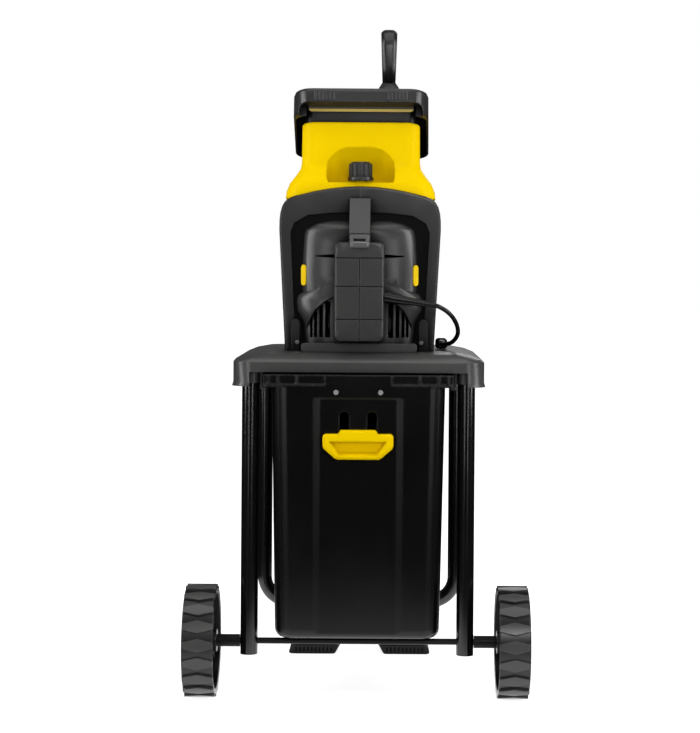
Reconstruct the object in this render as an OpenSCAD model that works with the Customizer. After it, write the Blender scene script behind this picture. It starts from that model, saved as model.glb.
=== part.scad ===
// Electric garden shredder on a wheeled stand, with a collection box under the deck

/* [Stand] */
// Width of the deck
deck_w = 410; // [395:1:430]
// Depth of the deck
deck_d = 400; // [390:1:420]
// Height of the deck's edge above the axle
deck_rise = 455; // [430:1:480]
// Height of the deck's skirt
skirt_h = 44; // [40:1:50]
// Rise of the deck's top from its edge to the body
crown_h = 11; // [8:0.5:14]
// Wall thickness of the deck
deck_wall = 3.5; // [3:0.1:4.5]
// Outside diameter of the rear leg tubes
leg_d = 28; // [26:0.5:29]
// Outside diameter of the front leg tube
u_leg_d = 25; // [22:0.5:26]
// Wall thickness of both tubes
tube_wall = 1.5; // [1:0.1:2.5]
// Centreline radius of the front leg's two bends
bend_r = 44; // [40:1:50]
// Height of the front leg's cross run above the ground
u_run_h = 96; // [90:1:110]
// Width of one foot
foot_w = 89; // [80:1:95]
// Depth of one foot
foot_d = 50; // [46:1:60]

/* [Wheels] */
// Diameter of a wheel over its lugs
wheel_d = 180; // [160:1:200]
// Width of a wheel
wheel_w = 50; // [46:1:56]
// Height of a tread lug
lug_h = 4; // [3:0.5:6]
// Number of tread lugs
lug_count = 19; // [15:1:22]
// Diameter of the axle rod
axle_d = 10; // [9:0.5:12]
// Length of each spacer between leg and wheel
spacer_l = 36.5; // [32:0.5:40]
// Outside diameter of the spacers
spacer_d = 20; // [18:0.5:22]

/* [Collection box] */
// Width of the runner flange on each side of the box
flange_w = 14; // [12:0.5:15]
// Wall thickness of the box
box_wall = 4; // [3:0.5:5]
// How far the box narrows on each side from top to bottom
box_taper = 7; // [4:0.5:10]
// Radius of the box's upright corners
box_r = 24; // [18:1:30]
// Gap between the axle rod and the underside of the box
box_axle_gap = 1; // [1:0.5:8]
// Width of the latch
latch_w = 112.8; // [100:0.2:125]
// Height of the latch without its tab
latch_h = 40.6; // [38:0.2:46]
// How far the latch stands out from the box
latch_t = 14; // [12:0.5:18]
// Travel of the latch
latch_travel = 25; // [20:0.5:28]

/* [Body] */
// Width of the body at its widest
body_w = 265; // [255:1:275]
// Width of the body at the deck
body_base_w = 244; // [236:1:250]
// Depth of the body
body_d = 240; // [236:1:250]
// Height of the body from the deck to the hopper
body_h = 250; // [246:1:262]
// Wall thickness of the body halves
body_wall = 4; // [3:0.5:5]
// Width of the arched band round the motor cover
band_w = 15; // [13:0.5:18]
// Width of the motor cover at its widest
cover_w = 208; // [200:1:212]
// How far the motor cover stands out from the arched band
cover_out = 34; // [28:1:36]
// Width of the rear cover
spine_w = 81; // [74:1:88]
// How far the rear cover stands out from the motor cover
spine_out = 24; // [21:1:27]

/* [Motor and knives] */
// Tilt of the motor's axis from the vertical
motor_tilt = 40; // [38:0.5:42]
// Diameter of the motor
motor_d = 104; // [98:1:106]
// Diameter of the motor shaft
shaft_d = 14; // [12:0.5:16]
// Diameter of the knife disc
disc_d = 172; // [160:1:176]
// Thickness of the knife disc
disc_t = 6; // [5:0.5:8]

/* [Hopper] */
// Height of the hopper shell
hopper_h = 128; // [122:1:134]
// Width of the hopper shell's neck
neck_w = 197; // [190:1:204]
// Wall thickness of the hopper shell
hopper_wall = 3; // [2.5:0.1:4]
// Width of the handle bar
bar_w = 222; // [216:1:230]
// Diameter of the knob
knob_d = 42; // [36:1:44]
// Height of the knob
knob_h = 31; // [28:1:34]
// Width of the pusher's handle
pusher_t = 28; // [24:1:30]
// Height of the pusher's hand loop
loop_h = 98; // [92:1:110]

/* [Hidden] */
$fn = 48;

// Clearances
run_gap = 0.05;
slip_gap = 0.1;
move_gap = 0.5;
tiny = 0.01;

// Colours
black = [0.06, 0.06, 0.065];
gloss_black = [0.03, 0.03, 0.03];
dark_grey = [0.16, 0.165, 0.17];
yellow = [0.94, 0.76, 0.02];
steel = [0.72, 0.73, 0.75];
copper = [0.62, 0.36, 0.2];

// Heights
axle_z = wheel_d / 2;
deck_z = axle_z + deck_rise;
skirt_z = deck_z - skirt_h;
top_z = deck_z + crown_h;
part_z = top_z + body_h;
ceiling_z = deck_z - deck_wall;

// Depths: the wheels and the feet lie equally far from the middle
axle_inset = 24.5;
u_leg_inset = 17.5;
foot_front = 2.5;
stand_d = wheel_d / 2 + deck_d - axle_inset - u_leg_inset + foot_d - foot_front;
axle_y = wheel_d / 2 - stand_d / 2;
deck_front = axle_y - axle_inset;
deck_back = deck_front + deck_d;
deck_y = (deck_front + deck_back) / 2;
u_leg_y = deck_back - u_leg_inset;

// Widths
leg_inset = 31;
leg_x = deck_w / 2 - leg_inset;
u_leg_x = leg_x - 4;
spacer_x = leg_x + leg_d / 2 + move_gap;
wheel_x = spacer_x + spacer_l + move_gap;
cap_depth = 12;
axle_half = wheel_x + wheel_w - cap_depth / 3;

// Collection box
rail_w = 4;
tube_gap = 2;
flange_half = leg_x - leg_d / 2 - tube_gap - rail_w - move_gap;
flange_t = 4;
box_w = 2 * (flange_half - flange_w);
box_front = deck_front - 8;
box_back = u_leg_y - u_leg_d / 2 - 7.5;
box_d = box_back - box_front;
box_y = (box_front + box_back) / 2;
box_z = axle_z + axle_d / 2 + box_axle_gap;
box_lip_h = 20;
panel_half = 61;
panel_step = 12;
panel_depth = 2;
panel_y = box_front + panel_depth;
slot_w = 15;
slot_x = 22.2;
latch_top = skirt_z - 74;
box_screw_x = 35.6;
box_screw_z = skirt_z - 8;
latch_tab_h = 6.2;
lug_half_h = 13;
latch_mid = latch_top - latch_h / 2 + 12;

// Body
body_inset = 72.5;
body_front = deck_front + body_inset;
body_back = body_front + body_d;
body_y = (body_front + body_back) / 2;
lip_y = body_front + 15;
arch_rise = 20;
cover_front = body_front - cover_out;
spine_front = cover_front - spine_out;
cover_wall = 3.5;
spine_top = part_z - 72;
spine_bottom = top_z + 17;
clip_z = part_z - 71;
cover_base_half = body_base_w / 2 - band_w - 17.5;
cover_fall = 16;
badge_slip = 0.2;

// Motor axis: the disc's top face lies at the axis frame's origin
disc_y = body_y + 8;
disc_z = part_z - 94;
can_wall = 4;
can_r = disc_d / 2 + 12;
can_floor = -28;
can_top = 28;
floor_t = 5;
motor_end = -150;
bearing_d = 35;
bearing_t = 11;
small_bearing_d = 32;
core_from = -105;
core_to = -50;
rotor_d = 60;
knife_l = 62;
knife_w = 34;
knife_t = 5;
knife_in = 18;
chute_front = disc_y + 24;
chute_back = disc_y + 94;
chute_half = can_r - 13;
chute_wall = 3.5;
chute_z = skirt_z + 9;

// Hopper
hopper_front = lip_y + 1;
hopper_back = body_back - 2;
hopper_y = (hopper_front + hopper_back) / 2;
hopper_d = hopper_back - hopper_front;
hopper_z = part_z + 0.3;
neck_front = hopper_front + 21;
neck_back = hopper_back - 10;
neck_y = (neck_front + neck_back) / 2;
neck_d = neck_back - neck_front;
mouth_tilt = 14.4;
mouth_y = neck_y + 3;
mouth_z = part_z + hopper_h - 14;
rim_h = 38;
rim_d = neck_d + 59;
rim_wall = 3.5;
rim_flare = 0.054;
bar_out = 6;
bar_low = 13;
strip_z = mouth_z + 31;
hinge_y = body_back + 7;
hinge_z = part_z + 3;
hinge_d = 6;
knuckle_r = 7;
stud_d = 8;
knob_y = hopper_front + 14;
knob_z = part_z + 30;
seat_z = knob_z - 3;
throat_x = 46;
throat_y = hopper_y + 28;
throat_w = 60;
throat_d = 80;
throat_z = disc_z + 33;
funnel_wall = 2.5;
paddle_gap = 4;

// Switch
switch_w = 66;
switch_h = 104;
switch_t = 24;
switch_z = part_z - 104;
button_gap = 0.4;
button_travel = 4;
well_t = 15;

// Places of the buttons on the switch: x, z and diameter
start_place = [0, 30, 24];
stop_place = [0, -4, 28];
reset_place = [0, -36, 12];

// Cord and its relief
cord_y = (cover_front + spine_front) / 2 - 2;
cord_z = spine_top - 89;
relief_tilt = 8.6;
relief_d = 19;
relief_l = 67;
collar_l = 10;

// The cord's route, from the relief to the plug
cord_d = 7.3;
cord_route = [
    [107, -156, 635], [117, -156, 633.5], [127, -155, 631], [137, -152, 626], [146, -147, 619],
    [153, -140, 611], [158, -131, 602], [161, -120, 593], [161, -108, 584.5], [158, -96, 577],
    [153, -85, 571], [147, -74, 567], [141.5, -63, 566], [138, -52, 566], [137, -41, 566]
];

// Points of a rounded rectangle, anticlockwise, with steps points in each corner
function rounded_ring(w, d, r, steps = 5) = [
    for (corner = [0:3])
        for (i = [0:steps])
            let (turn = 90 * corner + 90 * i / steps)
            let (side_x = corner == 0 || corner == 3 ? 1 : -1)
            let (side_y = corner < 2 ? 1 : -1)
            [side_x * (w / 2 - r) + r * cos(turn), side_y * (d / 2 - r) + r * sin(turn)]
];

// A right-hand outline completed with its mirror image
function both_sides(half) = concat(
    half,
    [for (i = [len(half) - 1:-1:0]) if (half[i][0] > 0) [-half[i][0], half[i][1]]]
);

// An outline drawn in towards its middle line by a margin, and down from its top
function drawn_in(outline, margin) =
    [for (p = outline) [p[0] - sign(p[0]) * margin, p[1] - (p[1] > top_z + 30 ? margin : 0)]];

// The same for the hollow inside, which runs out through the base
function hollowed(outline, margin) =
    [for (p = drawn_in(outline, margin)) [p[0], p[1] - (p[1] > top_z + 30 ? 0 : 6)]];

// A closed skin over rings of equal length, each ring a list of 3-D points
module skin(rings) {
    n = len(rings[0]);
    last = len(rings) - 1;
    points = [for (ring = rings) for (p = ring) p];
    sides = [
        for (k = [0:last - 1])
            for (i = [0:n - 1])
                let (j = (i + 1) % n)
                each [
                    [k * n + i, (k + 1) * n + i, (k + 1) * n + j],
                    [k * n + i, (k + 1) * n + j, k * n + j]
                ]
    ];
    bottom = [for (i = [0:n - 1]) i];
    top = [for (i = [n - 1:-1:0]) last * n + i];
    polyhedron(points = points, faces = concat([bottom], sides, [top]));
}

// A loft through rounded rectangles: each section is [z, width, depth, corner radius, x, y]
module loft(sections) {
    skin([
        for (s = sections)
            [for (p = rounded_ring(s[1], s[2], s[3])) [p[0] + s[4], p[1] + s[5], s[0]]]
    ]);
}

// A loft towards the front (-Y): each section is [y, outline in X and Z]
module front_loft(sections) {
    rotate([90, 0, 0])
        skin([for (s = sections) [for (p = s[1]) [p[0], p[1], -s[0]]]]);
}

// A flat rounded rectangle of exact arcs
module rounded_rect(w, d, r) {
    square([w - 2 * r, d], center = true);
    square([w, d - 2 * r], center = true);
    for (x = [-1, 1])
        for (y = [-1, 1])
            translate([x * (w / 2 - r), y * (d / 2 - r)])
                circle(r);
}

// A cylinder along X from one place to another
module rod_x(from, to, d) {
    translate([from, 0, 0])
        rotate([0, 90, 0])
            cylinder(d = d, h = to - from);
}

// A cylinder along Y towards the front (-Y)
module rod_front(d, h) {
    rotate([90, 0, 0])
        cylinder(d = d, h = h);
}

// The motor's own frame: Z runs along the shaft
module on_axis() {
    translate([0, disc_y, disc_z])
        rotate([-motor_tilt, 0, 0])
            children();
}

// The tilted frame of the hopper's mouth
module at_mouth() {
    translate([0, mouth_y, mouth_z])
        rotate([-mouth_tilt, 0, 0])
            children();
}

// Stand

module leg_places() {
    for (side = [-1, 1]) {
        translate([side * leg_x, axle_y, 0])
            children(0);
        translate([side * u_leg_x, u_leg_y, 0])
            children(1);
    }
}

module leg_socket(tube_d) {
    translate([0, 0, skirt_z + 5])
        cylinder(d = tube_d + 6, h = ceiling_z - skirt_z - 5 + tiny);
}

module leg_socket_bore(tube_d) {
    translate([0, 0, skirt_z])
        cylinder(d = tube_d + 2 * slip_gap, h = ceiling_z - skirt_z);
}

// One runner for the box flange: a web under the deck with a lip below the flange
module box_rail(side) {
    rail_z = skirt_z - move_gap - rail_w;
    rail_from = deck_front + deck_wall + 7;
    lip_w = 11;
    web_x = flange_half + move_gap;
    for (part = [[web_x, rail_w, ceiling_z + tiny - rail_z], [web_x + rail_w - lip_w, lip_w, rail_w]])
        translate([side > 0 ? part[0] : -part[0] - part[1], rail_from, rail_z])
            cube([part[1], box_back - rail_from, part[2]]);
}

module deck() {
    flat_inset = 60;
    edge_r = 34;
    notch_half = leg_x + 1;
    notch_h = 23;
    hollow = 4 + 2 * deck_wall;
    color(dark_grey)
    difference() {
        union() {
            difference() {
                loft([
                    [skirt_z, deck_w, deck_d, edge_r, 0, deck_y],
                    [skirt_z + 7, deck_w - 4, deck_d - 4, edge_r - 2, 0, deck_y],
                    [deck_z - 5, deck_w - 4, deck_d - 4, edge_r - 2, 0, deck_y],
                    [deck_z, deck_w - 12, deck_d - 12, edge_r - 6, 0, deck_y],
                    [deck_z + crown_h * 0.6, deck_w - 44, deck_d - 36, edge_r - 6, 0, deck_y],
                    [top_z, deck_w - flat_inset - 30, deck_d - flat_inset, edge_r - 8, 0, deck_y]
                ]);
                loft([
                    for (z = [skirt_z - 1, ceiling_z])
                        [z, deck_w - hollow, deck_d - hollow, edge_r - 5, 0, deck_y]
                ]);
            }
            leg_places() {
                leg_socket(leg_d);
                leg_socket(u_leg_d);
            }
            for (side = [-1, 1])
                box_rail(side);
        }
        leg_places() {
            leg_socket_bore(leg_d);
            leg_socket_bore(u_leg_d);
        }
        translate([-notch_half, deck_front - 1, skirt_z - 1])
            cube([2 * notch_half, deck_wall + 6, notch_h + 1]);
        translate([0, (chute_front + chute_back) / 2, ceiling_z - 1])
            linear_extrude(top_z - ceiling_z + 2)
                rounded_rect(2 * (chute_half + move_gap), chute_back - chute_front + 2 * move_gap, 8);
        translate([0, chute_front - 60, ceiling_z - 1])
            linear_extrude(crown_h)
                rounded_rect(deck_w - 150, 70, 8);
    }
}

module rear_leg(side) {
    leg_foot = 21;
    color(gloss_black)
    translate([side * leg_x, axle_y, 0])
        difference() {
            translate([0, 0, axle_z - leg_foot])
                cylinder(d = leg_d, h = ceiling_z - axle_z + leg_foot);
            translate([0, 0, axle_z - leg_foot + 2])
                cylinder(d = leg_d - 2 * tube_wall, h = ceiling_z);
            translate([0, 0, axle_z])
                rod_x(-leg_d, leg_d, axle_d + 2 * slip_gap);
        }
}

module left_leg() {
    rear_leg(-1);
}

module right_leg() {
    rear_leg(1);
}

// Solid form of the front leg: two uprights, two bends and the cross run
module front_leg_form(d) {
    for (side = [-1, 1]) {
        translate([side * u_leg_x, u_leg_y, u_run_h + bend_r])
            cylinder(d = d, h = ceiling_z - u_run_h - bend_r);
        translate([side * (u_leg_x - bend_r), u_leg_y, u_run_h + bend_r])
            rotate([90, 0, 0])
                rotate([0, 0, side > 0 ? -90 : 180])
                    rotate_extrude(angle = 90)
                        translate([bend_r, 0])
                            circle(d = d);
    }
    translate([0, u_leg_y, u_run_h])
        rod_x(-u_leg_x + bend_r, u_leg_x - bend_r, d);
}

module front_leg() {
    color(gloss_black)
    difference() {
        front_leg_form(u_leg_d);
        front_leg_form(u_leg_d - 2 * tube_wall);
    }
}

// One foot: a low grooved pad behind the tube, with a riser that grips the tube's cross run
module foot(side) {
    outer_x = u_leg_x - bend_r - 1;
    mid_x = outer_x - 2 - foot_w / 2;
    pad_h = 16;
    pad_y = u_leg_y - foot_front + foot_d / 2;
    splay = 3.5;
    tuck = 8;
    grip_d = u_leg_d + 11;
    groove_count = 10;
    groove_pitch = 7;
    color(black)
    difference() {
        mirror([side > 0 ? 0 : 1, 0, 0])
            loft([
                [0, foot_w - tuck + splay - 4, foot_d - 4, 6, mid_x + (tuck + splay) / 2, pad_y],
                [2, foot_w - tuck + splay, foot_d, 8, mid_x + (tuck + splay) / 2, pad_y],
                [pad_h, foot_w, foot_d, 10, mid_x, pad_y],
                [pad_h + 1, foot_w - 4, foot_d - 4, 9, mid_x, pad_y],
                [pad_h + 10, foot_w - 10, grip_d + 2, 12, mid_x, u_leg_y + grip_d / 2],
                [u_run_h - 30, foot_w - 12, grip_d, 12, mid_x, u_leg_y + 2],
                [u_run_h, foot_w - 12, grip_d, 12, mid_x, u_leg_y],
                [u_run_h + u_leg_d / 2 + 4, foot_w - 20, grip_d - 14, 10, mid_x, u_leg_y]
            ]);
        translate([0, u_leg_y, u_run_h])
            rod_x(-outer_x - 1, outer_x + 1, u_leg_d + 2 * slip_gap);
        for (i = [0:groove_count - 1])
            translate([side * (mid_x + 3 + (i - (groove_count - 1) / 2) * groove_pitch) - 1.5,
                       u_leg_y - foot_front - 1, 4])
                cube([3, 3, pad_h - 7]);
    }
}

module left_foot() {
    foot(-1);
}

module right_foot() {
    foot(1);
}

// Wheels

module axle() {
    color(steel)
    translate([0, axle_y, axle_z])
        rod_x(-axle_half, axle_half, axle_d);
}

module axle_spacers() {
    color(gloss_black)
    for (side = [-1, 1])
        translate([0, axle_y, axle_z])
            mirror([side > 0 ? 0 : 1, 0, 0])
                difference() {
                    rod_x(spacer_x, spacer_x + spacer_l, spacer_d);
                    rod_x(spacer_x - 1, spacer_x + spacer_l + 1, axle_d + 2 * slip_gap);
                }
}

// Push-on end caps, each sunk in its wheel's hub
module axle_caps() {
    cap_r = 12;
    color(black)
    for (side = [-1, 1])
        translate([0, axle_y, axle_z])
            mirror([side > 0 ? 0 : 1, 0, 0])
                difference() {
                    rod_x(wheel_x + wheel_w - cap_depth + move_gap, wheel_x + wheel_w - 1, 2 * cap_r);
                    rod_x(wheel_x, axle_half, axle_d + 2 * slip_gap);
                }
}

// One raised tread lug: widest in the middle of the tread
module tread_lug() {
    edge = 0.6;
    half_mid = 10.5;
    half_edge = 4.5;
    rotate([0, 90, 0])
        linear_extrude(wheel_d / 2 + lug_h)
            polygon([
                [-edge, -half_edge], [-wheel_w / 2, -half_mid], [-wheel_w + edge, -half_edge],
                [-wheel_w + edge, half_edge], [-wheel_w / 2, half_mid], [-edge, half_edge]
            ]);
}

module wheel() {
    base_r = wheel_d / 2 - lug_h;
    rim_r = base_r - 9;
    hub_r = 18;
    web_t = 4;
    rib_count = 10;
    rib_t = 3;
    recess_r = 13;
    bevel = 1.6;
    color(dark_grey)
    difference() {
        union() {
            rotate_extrude()
                polygon([
                    [rim_r, 1], [base_r - bevel, 0], [base_r, bevel],
                    [base_r, wheel_w - bevel], [base_r - bevel, wheel_w], [rim_r, wheel_w - 1]
                ]);
            intersection() {
                difference() {
                    for (i = [0:lug_count - 1])
                        rotate([0, 0, 90 + 360 * i / lug_count])
                            tread_lug();
                    translate([0, 0, -1])
                        cylinder(r = base_r - 3, h = wheel_w + 2);
                }
                cylinder(d = wheel_d, h = wheel_w);
            }
            cylinder(r = hub_r, h = wheel_w);
            translate([0, 0, (wheel_w - web_t) / 2])
                cylinder(r = rim_r + 1, h = web_t);
            for (i = [0:rib_count - 1])
                rotate([0, 0, 360 * i / rib_count])
                    translate([hub_r - 2, -rib_t / 2, 8])
                        cube([rim_r - hub_r + 3, rib_t, wheel_w - 16]);
        }
        translate([0, 0, -1])
            cylinder(d = axle_d + 2 * run_gap, h = wheel_w + 2);
        translate([0, 0, wheel_w - cap_depth])
            cylinder(r = recess_r, h = cap_depth + 1);
    }
}

module wheel_at(side) {
    translate([side * wheel_x, axle_y, axle_z])
        rotate([0, side * 90, 0])
            rotate([0, 0, -side * 90])
                wheel();
}

module left_wheel() {
    wheel_at(-1);
}

module right_wheel() {
    wheel_at(1);
}

// Collection box

// The tub with its rounded underside, drawn in by a margin
module box_form(margin) {
    under_r = 16;
    low = box_taper + margin;
    top = margin > 0 ? skirt_z + 10 : skirt_z;
    loft(concat(
        [
            for (turn = [0:18:90])
                let (inset = under_r * (1 - sin(turn)))
                [box_z + margin + under_r * (1 - cos(turn)),
                 box_w - 2 * (low + inset), box_d - 2 * (low + inset), box_r - margin - inset / 2, 0, box_y]
        ],
        [[top, box_w - 2 * margin, box_d - 2 * margin, box_r - margin, 0, box_y]]
    ));
}

// The sunk middle panel of the front wall, cut along the wall's own slope
module front_panel_cut() {
    lean = atan(box_taper / (skirt_z - box_z));
    translate([0, box_front, skirt_z])
        rotate([lean, 0, 0])
            translate([0, 0, -(skirt_z - box_z) - 10])
                linear_extrude(skirt_z - box_z - 8)
                    polygon(both_sides([
                        [panel_half + panel_step, -2], [panel_half + panel_step, 0],
                        [panel_half, panel_depth], [0, panel_depth]
                    ]));
}

// The two arched guide slots of the latch
module latch_slots() {
    slot_bottom = latch_mid - lug_half_h - move_gap;
    slot_top = latch_mid + lug_half_h + latch_travel + 5;
    for (side = [-1, 1])
        translate([side * slot_x, box_front + 30, 0])
            rotate([90, 0, 0])
                linear_extrude(60) {
                    translate([-slot_w / 2, slot_bottom])
                        square([slot_w, slot_top - slot_bottom - slot_w / 2]);
                    translate([0, slot_top - slot_w / 2])
                        circle(d = slot_w);
                }
}

// Rim above the flange: a sunk strip with upright ribs on both sides of the plain middle
module box_rim() {
    rib_t = 2.6;
    sunk = 3;
    middle_half = 54;
    translate([1 - flange_half, box_front + sunk, skirt_z])
        cube([2 * flange_half - 2, box_wall, box_lip_h]);
    translate([-middle_half, box_front, skirt_z - tiny])
        cube([2 * middle_half, box_wall, box_lip_h + tiny]);
    for (side = [-1, 1])
        for (x = [98.5, 128.5, 144])
            translate([side * x - rib_t / 2, box_front, skirt_z])
                cube([rib_t, sunk + 1, box_lip_h]);
}

module box_screw_holes(d) {
    for (side = [-1, 1])
        translate([side * box_screw_x, box_front + 20, box_screw_z])
            rod_front(d, 40);
}

module collection_box() {
    color(black)
    difference() {
        union() {
            difference() {
                union() {
                    box_form(0);
                    translate([0, box_y, skirt_z])
                        linear_extrude(flange_t)
                            rounded_rect(2 * flange_half, box_d, 6);
                }
                box_form(box_wall);
            }
            box_rim();
        }
        front_panel_cut();
        latch_slots();
        box_screw_holes(4.2);
    }
}

module box_screws() {
    head_d = 8;
    head_h = 2.6;
    shank_l = box_wall + 4;
    color(steel)
    for (side = [-1, 1])
        translate([side * box_screw_x, box_front, box_screw_z]) {
            rod_front(head_d, head_h);
            translate([0, shank_l, 0])
                rod_front(4, shank_l + tiny);
        }
}

// Outline of the latch, seen from the front, with its top edge at zero
function latch_outline(margin) =
    let (half = latch_w / 2 - margin)
    let (low = -latch_h + margin)
    let (cut = 20.4 - margin * 0.4)
    both_sides([
        [half - cut - 3, low], [half - cut + 2, low + 2.6],
        [half - 1.6, low + cut - 3], [half, low + cut + 2], [half, -margin - 5],
        [half - 1.5, -margin - 1.5], [half - 5, -margin], [32, -margin], [28, latch_tab_h - margin], [0, latch_tab_h - margin]
    ]);

// Outline of the finger pocket, as wide as its top edge
function pocket_outline(top_half, top, low) = both_sides([[31, low], [top_half, top], [0, top]]);

module box_latch() {
    plate_y = panel_y + 0.3;
    shoe_y = box_front + box_wall + 4;
    pocket_top = -12;
    pocket_low = -latch_h + 6;
    color(yellow)
    difference() {
        union() {
            translate([0, 0, latch_top])
                front_loft([
                    [plate_y, latch_outline(0)],
                    [plate_y - latch_t + 3, latch_outline(0)],
                    [plate_y - latch_t, latch_outline(3)]
                ]);
            for (side = [-1, 1])
                translate([side * slot_x, plate_y - 1, latch_mid])
                    translate([-slot_w / 2 + move_gap, 0, -lug_half_h])
                        cube([slot_w - 2 * move_gap, shoe_y - plate_y + 5, 2 * lug_half_h - slot_w / 2]);
            translate([-slot_x - slot_w, shoe_y + 1, latch_mid - lug_half_h])
                cube([2 * slot_x + 2 * slot_w, 3, 2 * lug_half_h - slot_w / 2]);
        }
        translate([0, 0, latch_top])
            front_loft([
                [plate_y - 3, pocket_outline(42, pocket_top - 1, pocket_low + 4)],
                [plate_y - latch_t - 1, pocket_outline(46, pocket_top, pocket_low)]
            ]);
    }
}

// Body

// Outline of the body seen from the wheels: a tall arch with a crowned top
function body_outline() = both_sides(concat(
    [
        [body_base_w / 2, top_z], [body_w / 2, part_z - 52], [body_w / 2 - 0.2, part_z - 36],
        [body_w / 2 - 1.5, part_z - 24], [body_w / 2 - 4.3, part_z - 13.5], [body_w / 2 - 9, part_z - 5.5],
        [body_w / 2 - 15.5, part_z], [body_w / 2 - 24.5, part_z + arch_rise * 0.19]
    ],
    [for (f = [0.74, 0.55, 0.37, 0.18, 0]) [body_w / 2 * f, part_z + arch_rise * (1 - 1.24 * f * f)]]
));

// Opening of the arched band round the motor cover
function band_outline(margin) =
    let (low = body_base_w / 2 - band_w - 3 - margin)
    let (high = body_w / 2 - band_w - 3.5 - margin)
    both_sides([
        [low, top_z], [high, part_z - 56], [high - 6, part_z - 41], [high - 28, part_z - 28 - margin],
        [high * 0.4, part_z - 24 - margin], [0, part_z - 23 - margin]
    ]);

module body_form() {
    outline = body_outline();
    front_loft([
        [body_back, drawn_in(outline, 9)],
        [body_back - 4, drawn_in(outline, 3)],
        [body_back - 12, outline],
        [body_front + 5, outline],
        [body_front + 1, drawn_in(outline, 1.5)],
        [body_front, drawn_in(outline, 4)]
    ]);
}

module body_cavity() {
    outline = body_outline();
    intersection() {
        front_loft([
            [body_back - body_wall, drawn_in(outline, 9 + body_wall)],
            [body_back - body_wall - 8, drawn_in(outline, body_wall)],
            [body_front + body_wall, drawn_in(outline, body_wall)]
        ]);
        translate([-body_w, body_front, top_z - 1])
            cube([2 * body_w, body_d, body_h + 1 - body_wall]);
    }
}

// Knuckles of the hopper's hinge that belong to the body
module body_knuckles() {
    for (side = [-1, 1])
        mirror([side > 0 ? 0 : 1, 0, 0]) {
            translate([0, hinge_y, hinge_z])
                rod_x(40, 70, 2 * knuckle_r);
            translate([40, body_back - body_wall - 9, hinge_z - knuckle_r - 10])
                cube([30, hinge_y - body_back + body_wall + 9, 12]);
        }
}

// Upright ear beside the motor cover, with a rounded head
module cover_ear() {
    ear_w = 14;
    ear_x = body_base_w / 2 - band_w - ear_w + 4.5;
    ear_h = 52;
    translate([ear_x + ear_w / 2, body_front + 1, top_z])
        rotate([90, 0, 0])
            linear_extrude(9) {
                translate([-ear_w / 2, 0])
                    square([ear_w, ear_h - ear_w / 2]);
                translate([0, ear_h - ear_w / 2])
                    circle(d = ear_w);
            }
}

module whole_body() {
    boss_d = 22;
    boss_h = 26;
    feed_r = 12;
    difference() {
        union() {
            difference() {
                body_form();
                body_cavity();
                front_loft([for (y = [body_wall + 1, -1]) [body_front + y, band_outline(0)]]);
                translate([-body_w, lip_y, part_z])
                    cube([2 * body_w, body_d, arch_rise + 5]);
                translate([0, (knob_y + boss_d / 2 + body_back - 16) / 2 + 3, part_z - body_wall - 1])
                    linear_extrude(body_wall + 2)
                        rounded_rect(neck_w + 4, body_back - knob_y - boss_d / 2 - 22, feed_r);
            }
            body_knuckles();
            translate([0, knob_y, part_z - boss_h])
                cylinder(d = boss_d, h = boss_h - tiny);
            for (side = [-1, 1])
                mirror([side > 0 ? 0 : 1, 0, 0])
                    cover_ear();
        }
        translate([0, hinge_y, hinge_z])
            rod_x(-body_w, body_w, hinge_d + 2 * slip_gap);
        translate([0, knob_y, part_z - boss_h - 1])
            cylinder(d = stud_d + 2, h = boss_h + 2);
    }
}

module body_half(side) {
    seam = 0.05;
    color(black)
    intersection() {
        whole_body();
        translate([side > 0 ? seam : -body_w - seam, body_front - 20, top_z - 1])
            cube([body_w, body_d + 50, body_h + 60]);
    }
}

module left_body_half() {
    body_half(-1);
}

module right_body_half() {
    body_half(1);
}

// Outline of the motor cover
function cover_outline() = both_sides([
    [cover_base_half, top_z + 0.2], [cover_w * 0.456, top_z + 84], [cover_w * 0.461, part_z - 116],
    [cover_w * 0.447, part_z - 61], [cover_w * 0.43, part_z - 50], [cover_w * 0.355, part_z - 41],
    [cover_w * 0.255, part_z - 36], [0, part_z - 34]
]);

// Outline of the flared collar over the grille
function collar_outline() = both_sides([
    [cover_base_half - 3.5, top_z + 23], [cover_base_half + 2.5, top_z + 42],
    [cover_base_half + 6, top_z + 52], [cover_w * 0.494, top_z + 66], [cover_w / 2, top_z + 84],
    [cover_w * 0.485, top_z + 92], [cover_w * 0.35, top_z + 111], [cover_w * 0.192, top_z + 136], [0, top_z + 146]
]);

// An outline as a round form shows it at a part of its depth, with its top falling away
function rounded_in(outline, turn, fall) =
    [for (p = outline) [p[0] * cos(turn), p[1] - (p[1] > top_z + 70 ? fall * pow(sin(turn), 2) : 0)]];

// A half-round form in front of the band
module half_round(outline, back, out, fall) {
    last_turn = 80;
    front_loft(concat(
        [[body_front + back, outline]],
        [for (turn = [0, 13, 26, 39, 52, 65, last_turn])
            [body_front - out * sin(turn) / sin(last_turn), rounded_in(outline, turn, fall)]]
    ));
}

module cover_form(margin) {
    if (margin > 0)
        half_round(hollowed(cover_outline(), margin), body_wall + 20, cover_out - margin, cover_fall);
    else
        half_round(cover_outline(), body_wall + 4.5, cover_out, cover_fall);
}

// The collar over the grille, open in the middle for the rear cover and arched on both sides
module grille_collar() {
    collar_out = 7;
    middle_half = spine_w / 2 + 0.4;
    difference() {
        half_round(collar_outline(), body_wall + 2, cover_out + collar_out, 4);
        translate([-middle_half, cover_front - collar_out - 1, top_z])
            cube([2 * middle_half, cover_out + collar_out, body_h]);
        front_loft([for (y = [body_front - 3, cover_front - collar_out - 1]) [y, grille_arch()]]);
    }
}

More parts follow.
